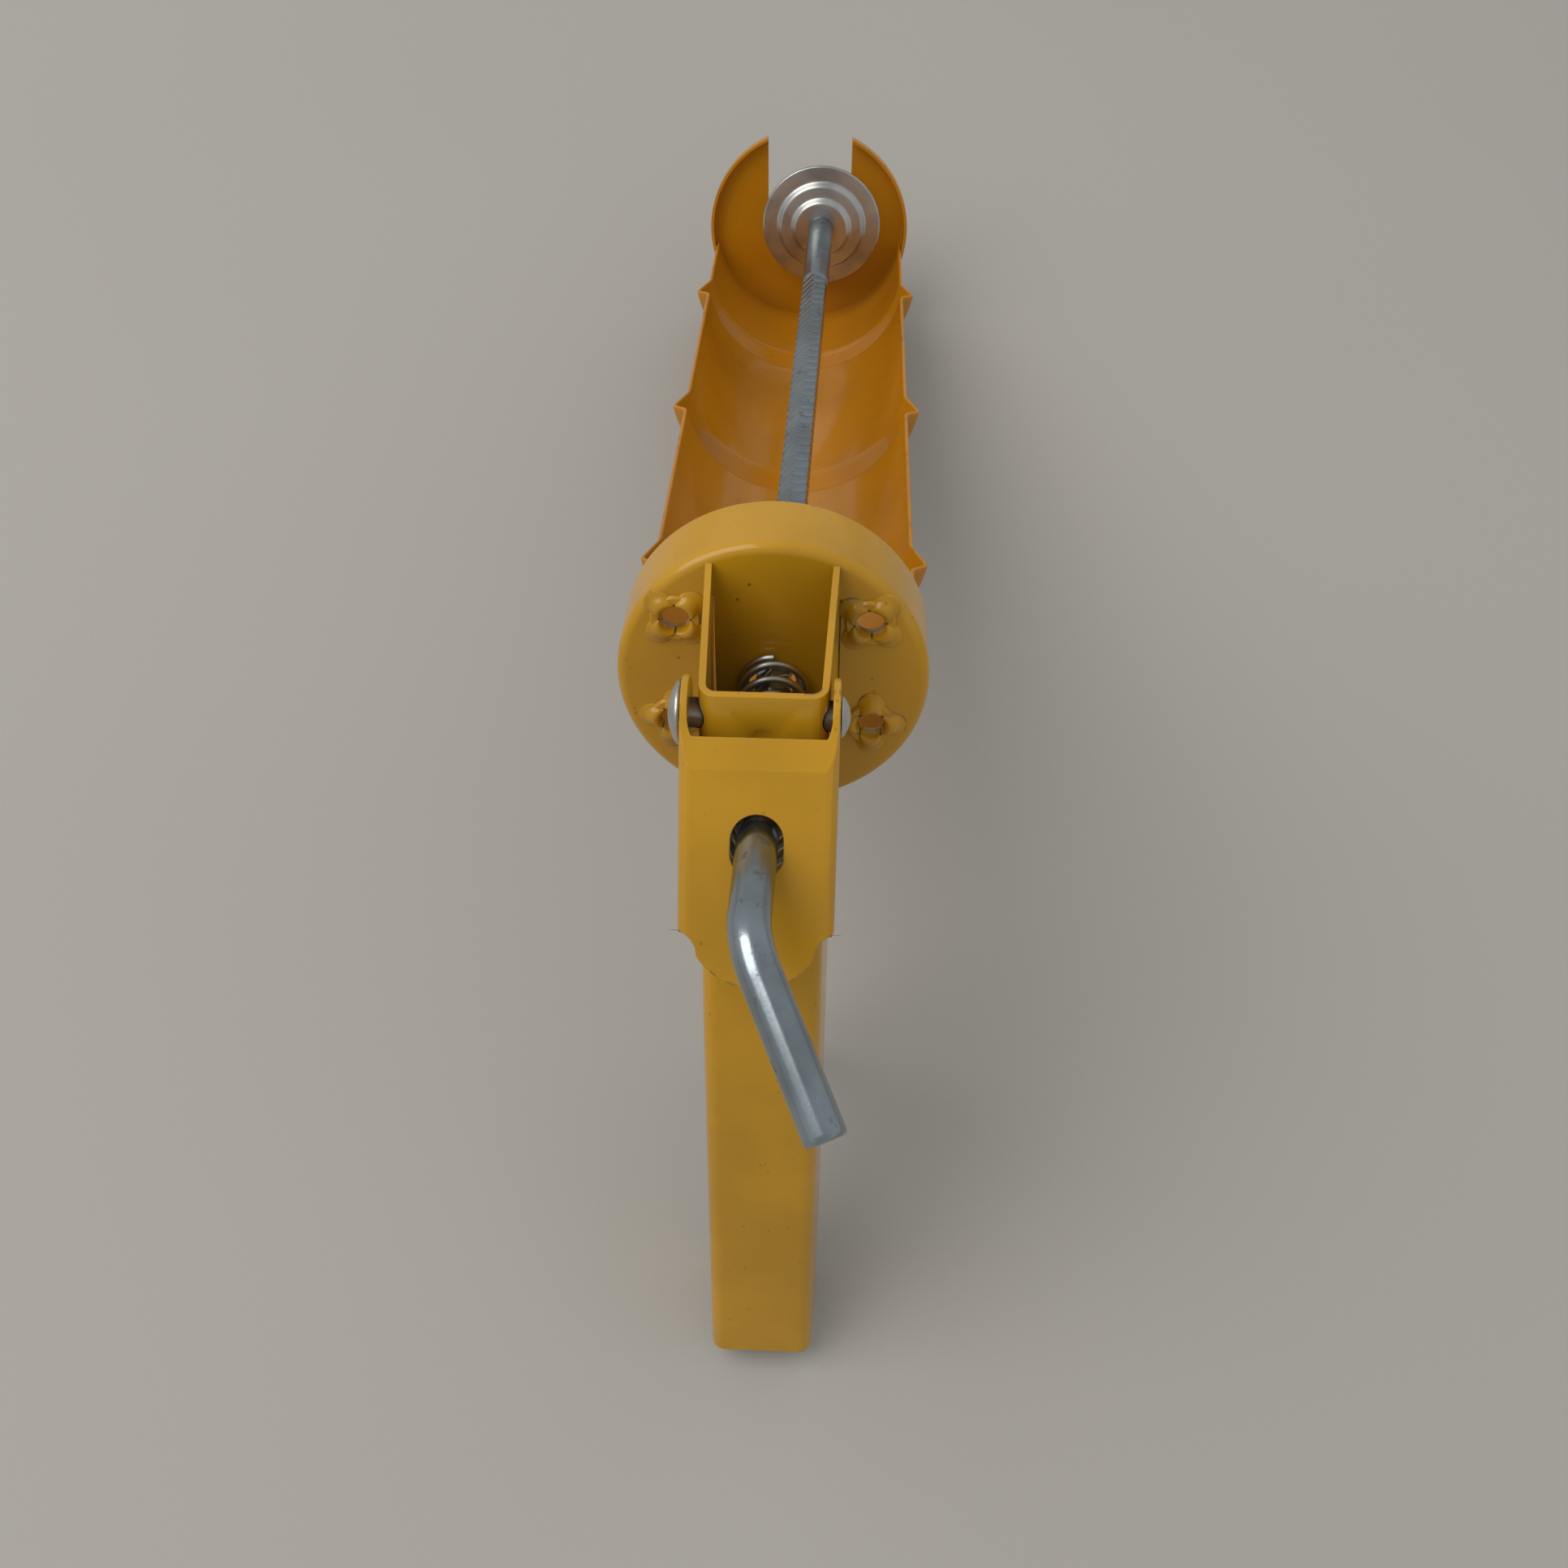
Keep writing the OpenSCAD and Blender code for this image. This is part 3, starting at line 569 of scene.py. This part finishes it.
def petals(turn, hole=2.55, reach=6.6, height=1.5, turns=128, steps=18):
    """Four petals folded out round a hole, as a closed skin of (step, angle) points.

    The reach of the rim is the hole's radius plus a share that is nothing at the four splits and whole
    at the petals' tips; the height rises from inside the hole over a rounded lip and falls to the rim."""
    angle = np.linspace(0, 2 * np.pi, turns, endpoint=False)
    lobe = np.abs(np.cos(2 * (angle - math.radians(turn)))) ** 0.7
    rim = hole + 0.5 + (reach - hole - 0.5) * lobe ** 1.3
    share = np.linspace(0, 1, steps)[:, None]
    lip = np.sin(np.pi * np.clip(share * 1.35, 0, 1) ** 0.8)
    radius = hole + (rim - hole) * share ** 1.1
    lift = height * (0.35 + 0.65 * lobe) * (0.45 + 0.55 * lip) * (1 - share ** 3) + 0.12
    lift[0] = -0.9
    skin = np.stack([-lift, radius * np.cos(angle), radius * np.sin(angle)], -1)
    under = np.stack([np.full(turns, 0.35), rim * np.cos(angle), rim * np.sin(angle)], -1)[None]
    back = np.stack([np.full(turns, 0.35), hole * np.cos(angle), hole * np.sin(angle)], -1)[None]
    return np.concatenate([skin, under, back])


class CAULK_OT_clinches(bpy.types.Operator):
    """Petals of the four clinches that hold the handle frame to the rear cap."""

    bl_idname = "caulk.clinches"
    bl_label = "Clinches"

    def execute(self, context):
        looks = context.scene.caulk_looks
        paint = powder_coat("clinch_paint", looks.paint, [c * 0.7 for c in looks.paint], 1.6, splits=True)
        for k, (y, z, turn) in enumerate(((17.05, 13.1, 45), (-17.05, 13.1, 38), (17.9, -8.6, 8), (-17.9, -8.6, 0))):
            grid = petals(turn) + np.array([-0.05, y, z])
            rows, columns, _ = grid.shape
            points = placed(grid.reshape(-1, 3), GUN)
            quads = grid_faces(rows + 1, columns, True) % (rows * columns)
            if enclosed(points - points.mean(0), quads) < 0:
                quads = quads[:, ::-1]
            piece = new_object(f"clinch_{k + 1}", points, quads.tolist(), "frame", 50)
            angle = np.linspace(0, 2 * np.pi, columns, endpoint=False) - math.radians(turn)
            # painted shade: 1 along the four splits between the petals, where the paint is turned near black
            split_shade = np.clip(1.5 - np.abs(np.cos(2 * angle)) / 0.12, 0, 1)[None] * np.ones((rows, 1))
            split = piece.data.attributes.new("split", "FLOAT", "POINT")
            split.data.foreach_set("value", split_shade.astype(np.float32).ravel())
            coloured(piece, paint)
        return {"FINISHED"}


def rod_rows(s):
    """Stations along the rod from its nose to its tail: (distance from the bend's start, radius limit).

    Distances are positive in front of the bend and negative behind it."""
    start = s.shoulder - s.bend_x
    neck = start + 2.38
    nose = [(neck + 1.4, 0.4), (neck + 1.2, 2.6), (neck + 0.6, 3.6), (neck, 3.8), (neck, 2.5), (start, 2.5),
        (start, s.radius - 0.3), (start - 0.3, s.radius)]
    body = [(d, s.radius) for d in np.arange(start - 1.0, 0.2, -0.27)]
    bend = [(-d, s.radius) for d in np.linspace(0, s.bend_r * math.radians(s.bend_angle), 40)]
    end = bend[-1][0] - s.tail
    tail = [(d, s.radius) for d in np.linspace(bend[-1][0] - 0.5, end + 0.8, 50)]
    chamfer = [(end + 0.25, s.radius - 0.22), (end + 0.06, s.radius - 0.5), (end, s.radius - 0.85), (end, 0.6)]
    return np.array(nose + body + bend + tail + chamfer)


class CAULK_OT_rod(bpy.types.Operator):
    """Plunger rod: a round section, cut to six flats with slanting grip marks over the working length,
    carried along a straight line, an arc and the tail."""

    bl_idname = "caulk.rod"
    bl_label = "Plunger rod"

    def execute(self, context):
        s = context.scene.caulk_rod
        rows = rod_rows(s)
        along, limit = rows[:, 0], rows[:, 1]
        angle = np.linspace(0, 2 * np.pi, 60, endpoint=False)
        x = along + s.bend_x
        slice_angle = (np.degrees(angle) + 30) % 60 - 30
        hexagon = s.flats / 2 / np.cos(np.radians(slice_angle))
        on_flats = np.clip((x - s.flats_from) / 1.2, 0, 1) * np.clip((s.flats_to - x) / 1.2, 0, 1)
        flat_radius = np.minimum(hexagon[None], s.radius)
        across = s.flats / 2 * np.tan(np.radians(slice_angle))
        wave = ((x[:, None] + 0.7 * across[None]) / s.notch_pitch) % 1.0
        notch = s.notch * np.clip(1 - np.abs(wave - 0.5) / 0.15, 0, 1)
        radius = limit[:, None] * (1 - on_flats[:, None]) + (flat_radius - notch) * on_flats[:, None]
        radius = np.minimum(radius, limit[:, None])
        bent = np.clip(-along, 0, s.bend_r * math.radians(s.bend_angle)) / s.bend_r
        beyond = np.maximum(-along - s.bend_r * math.radians(s.bend_angle), 0)
        ahead = np.maximum(along, 0)
        centre_x = s.bend_x + ahead - s.bend_r * np.sin(bent) - beyond * np.cos(bent)
        drop = s.bend_r * (1 - np.cos(bent)) + beyond * np.sin(bent)
        up = radius * np.cos(angle)
        side = radius * np.sin(angle)
        grid_x = centre_x[:, None] + up * -np.sin(bent)[:, None]
        fall = drop[:, None] - up * np.cos(bent)[:, None]
        turn = math.radians(s.turn)
        grid = np.stack([grid_x, side * math.cos(turn) - fall * math.sin(turn),
            -side * math.sin(turn) - fall * math.cos(turn)], -1)
        piece = tube("plunger_bar", grid, ROD, "rod", 40)
        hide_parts("plunger_rod")
        coloured(piece, zinc_plate("rod_zinc", tuple(context.scene.caulk_looks.zinc), tuple(ROD[1][0])))
        return {"FINISHED"}


def eased(corners, radius, steps=4):
    """A closed profile with each corner rounded: points slide along a curve from edge to edge."""
    corners = np.array(corners, float)
    out = []
    for k, here in enumerate(corners):
        before, after = corners[k - 1], corners[(k + 1) % len(corners)]
        reach_a = min(radius, np.linalg.norm(before - here) / 2.2)
        reach_b = min(radius, np.linalg.norm(after - here) / 2.2)
        a = here + (before - here) / np.linalg.norm(before - here) * reach_a
        b = here + (after - here) / np.linalg.norm(after - here) * reach_b
        t = np.linspace(0, 1, steps)[:, None]
        out.append((1 - t) ** 2 * a + 2 * t * (1 - t) * here + t ** 2 * b)
    out = np.concatenate(out)
    return np.concatenate([out, out[:1]])


class CAULK_OT_piston(bpy.types.Operator):
    """Stepped piston disc and its washer: eased profiles turned about the rod."""

    bl_idname = "caulk.piston"
    bl_label = "Piston"

    def execute(self, context):
        s = context.scene.caulk_drive
        r, t, rise = s.piston_r, s.disc, s.rise
        middle = rise / 2
        back = [(0, 2.56), (0, r - 9.2), (middle - 0.1, r - 8.2), (middle + 0.1, r - 5.2), (rise, r - 4.2), (rise, r)]
        front = [(rise + t, r), (rise + t, r - 4.6), (middle + 0.1 + t, r - 5.6), (middle - 0.1 + t, r - 8.6),
            (t, r - 9.6), (t, 2.56)]
        start = np.array([s.piston_x - rise, 0.0, 0.0])
        disc = lathe("piston_pressing", eased(back + front, 0.45), ROD, start, "piston", 128)
        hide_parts("piston_disc")
        ring = [(0, 2.56), (0, 6), (1, 6), (1, 2.56)]
        washer = lathe("washer_ring", eased(ring, 0.2), ROD, start + [t + 0.06, 0, 0], "piston")
        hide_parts("piston_washer")
        steel = bright_steel("piston_steel", tuple(context.scene.caulk_looks.steel), 0.5)
        coloured(disc, steel)
        coloured(washer, steel)
        return {"FINISHED"}


def coil(start, start_lean, end, end_lean, diameter, wire, turns):
    """Wire carried along a helix about X between two leaning planes, its end turns lying closed."""
    rings = int(turns * 56)
    u = np.linspace(0, 1, rings)
    closed = 0.75 / turns
    share = np.where(u < closed, 0.35 * u, np.where(u > 1 - closed, 1 - 0.35 * (1 - u),
        0.35 * closed + (u - closed) * (1 - 0.7 * closed) / (1 - 2 * closed)))
    turn = 2 * np.pi * turns * u[:, None]
    around = np.linspace(0, 2 * np.pi, 18, endpoint=False)[None]
    radius = (diameter - wire) / 2 + wire / 2 * np.cos(around)
    y, z = radius * np.sin(turn), radius * np.cos(turn)
    first = start + z * math.tan(math.radians(start_lean)) - wire / 2
    last = end + z * math.tan(math.radians(end_lean)) + wire / 2
    x = first + share[:, None] * (last - first) + wire / 2 * np.sin(around)
    return np.stack([x, y, z], -1)


class CAULK_OT_springs(bpy.types.Operator):
    """Return spring and lock spring: helices of steel wire."""

    bl_idname = "caulk.springs"
    bl_label = "Springs"

    def execute(self, context):
        s = context.scene.caulk_drive
        steel = bright_steel("spring_steel", (0.5, 0.49, 0.46), 0.7)
        grid = coil(-0.3, 0, -21.2, 0, s.return_d, s.return_wire, s.return_turns)
        piece = tube("return_coil", grid, ROD, "frame", 60)
        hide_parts("return_spring")
        coloured(piece, steel)
        tuple(placed([0, 0, 0], ROD))
        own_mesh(piece)
        grid = coil(-36.01, 9.5, -43.77, 25.4, s.lock_d, s.lock_wire, s.lock_turns) + np.array([0.0, 0.3, 0.0])
        piece = tube("lock_coil", grid, GUN, "frame", 60)
        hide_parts("lock_spring")
        coloured(piece, steel)
        tuple(placed([-36, 0, 0], GUN))
        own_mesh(piece)
        return {"FINISHED"}


class CAULK_OT_hardware(bpy.types.Operator):
    """Rivets and drive plates: the turned and blanked steel pieces with their edges eased."""

    bl_idname = "caulk.hardware"
    bl_label = "Rivets and drive plates"

    def execute(self, context):
        steel = tuple(context.scene.caulk_looks.steel)
        rivet = bright_steel("rivet_steel", steel, 0.5)
        plate = zinc_plate("plate_zinc", tuple(context.scene.caulk_looks.zinc), (0.0, 0.0, 1.0))
        for node, width in (("trigger_rivet", 0.0), ("lever_rivet", 0.0)):
            coloured(edged(node, node + "_pin", "frame", width, 40), rivet)
        for node in ("drive_plate_front", "drive_plate_rear"):
            coloured(edged(node, node + "_blank", "drive", 0.15, 40), plate)
        return {"FINISHED"}


class CAULK_OT_stage(bpy.types.Operator):
    """Paper floor, even sky, one large soft lamp and the camera."""

    bl_idname = "caulk.stage"
    bl_label = "Stage"

    def execute(self, context):
        scene = context.scene
        s = scene.caulk_stage
        half = 4.0
        corners = [(-half, -half, 0), (half, -half, 0), (half, half, 0), (-half, half, 0)]
        mesh = bpy.data.meshes.new("floor")
        mesh.from_pydata(corners, [], [(0, 1, 2, 3)])
        floor = bpy.data.objects.new("floor", mesh)
        scene.collection.objects.link(floor)
        coloured(floor, paper("floor_paper", tuple(scene.caulk_looks.floor)))

        world = bpy.data.worlds.new("sky")
        world.use_nodes = True
        tree = world.node_tree
        facing = tree.nodes.new("ShaderNodeVectorMath")
        facing.operation = "DOT_PRODUCT"
        facing.inputs[1].default_value = (-0.80, 0.0, 0.60)
        tree.links.new(tree.nodes.new("ShaderNodeTexCoord").outputs["Generated"], facing.inputs[0])
        dim = Number(tree, facing.outputs["Value"]).steps(0.55, 0.95)
        mirrored = Number(tree, tree.nodes.new("ShaderNodeLightPath").outputs["Is Glossy Ray"])
        background = tree.nodes["Background"]
        background.inputs["Color"].default_value = (0.93, 0.97, 1.0, 1.0)
        tree.links.new((s.sky * (1.08 - dim * 0.3) * (1.0 - mirrored * 0.45)).socket, background.inputs["Strength"])
        scene.world = world

        lamp = bpy.data.lights.new("key", "AREA")
        lamp.shape = "RECTANGLE"
        lamp.size, lamp.size_y = 0.9, 0.9
        lamp.energy = s.key
        lamp.color = (1.0, 0.98, 0.95)
        key = bpy.data.objects.new("key", lamp)
        key.location = (-0.1, 0.62, 1.05)
        key.rotation_mode = "QUATERNION"
        key.rotation_quaternion = (Vector((0.0, 0.0, 0.05)) - key.location).to_track_quat("-Z", "Y")
        scene.collection.objects.link(key)

        camera = bpy.data.objects.new("camera", bpy.data.cameras.new("camera"))
        camera.data.lens = s.lens
        camera.data.sensor_width = 36.0
        camera.data.clip_start = 0.01
        back = -Vector(s.view).normalized()
        right = (Vector(s.right) - back * back.dot(Vector(s.right))).normalized()
        up = back.cross(right)
        camera.matrix_world = Matrix.Translation(Vector(s.camera)) @ Matrix((right, up, back)).transposed().to_4x4()
        scene.collection.objects.link(camera)
        scene.camera = camera
        scene.view_settings.view_transform = "Standard"
        return {"FINISHED"}


GROUPS = {
    "caulk_cradle": CaulkingCradle,
    "caulk_rod": CaulkingRod,
    "caulk_drive": CaulkingDrive,
    "caulk_looks": CaulkingLooks,
    "caulk_stage": CaulkingStage,
}
OPERATORS = (
    CAULK_OT_cradle, CAULK_OT_sheet_metal, CAULK_OT_clinches, CAULK_OT_rod, CAULK_OT_piston,
    CAULK_OT_springs, CAULK_OT_hardware, CAULK_OT_stage,
)


class CAULK_PT_panel(bpy.types.Panel):
    """Lists the operators and their settings."""

    bl_idname = "CAULK_PT_panel"
    bl_label = "Caulking gun"
    bl_space_type = "VIEW_3D"
    bl_region_type = "UI"
    bl_category = "Gun"

    def draw(self, context):
        for operator in OPERATORS:
            self.layout.operator(operator.bl_idname)
        for group, kind in GROUPS.items():
            box = self.layout.box()
            for name in kind.__annotations__:
                box.prop(getattr(context.scene, group), name)


def register():
    """Registers the settings, the operators and the panel."""
    for name, kind in GROUPS.items():
        bpy.utils.register_class(kind)
        setattr(bpy.types.Scene, name, PointerProperty(type=kind))
    for kind in (*OPERATORS, CAULK_PT_panel):
        bpy.utils.register_class(kind)


def unregister():
    """Removes what register() added."""
    for kind in (CAULK_PT_panel, *reversed(OPERATORS)):
        bpy.utils.unregister_class(kind)
    for name, kind in GROUPS.items():
        delattr(bpy.types.Scene, name)
        bpy.utils.unregister_class(kind)


def main():
    """Builds everything in order."""
    register()
    bpy.ops.caulk.cradle()
    bpy.ops.caulk.sheet_metal()
    bpy.ops.caulk.clinches()
    bpy.ops.caulk.rod()
    bpy.ops.caulk.piston()
    bpy.ops.caulk.springs()
    bpy.ops.caulk.hardware()
    bpy.ops.caulk.stage()


if __name__ == "__main__":
    main()
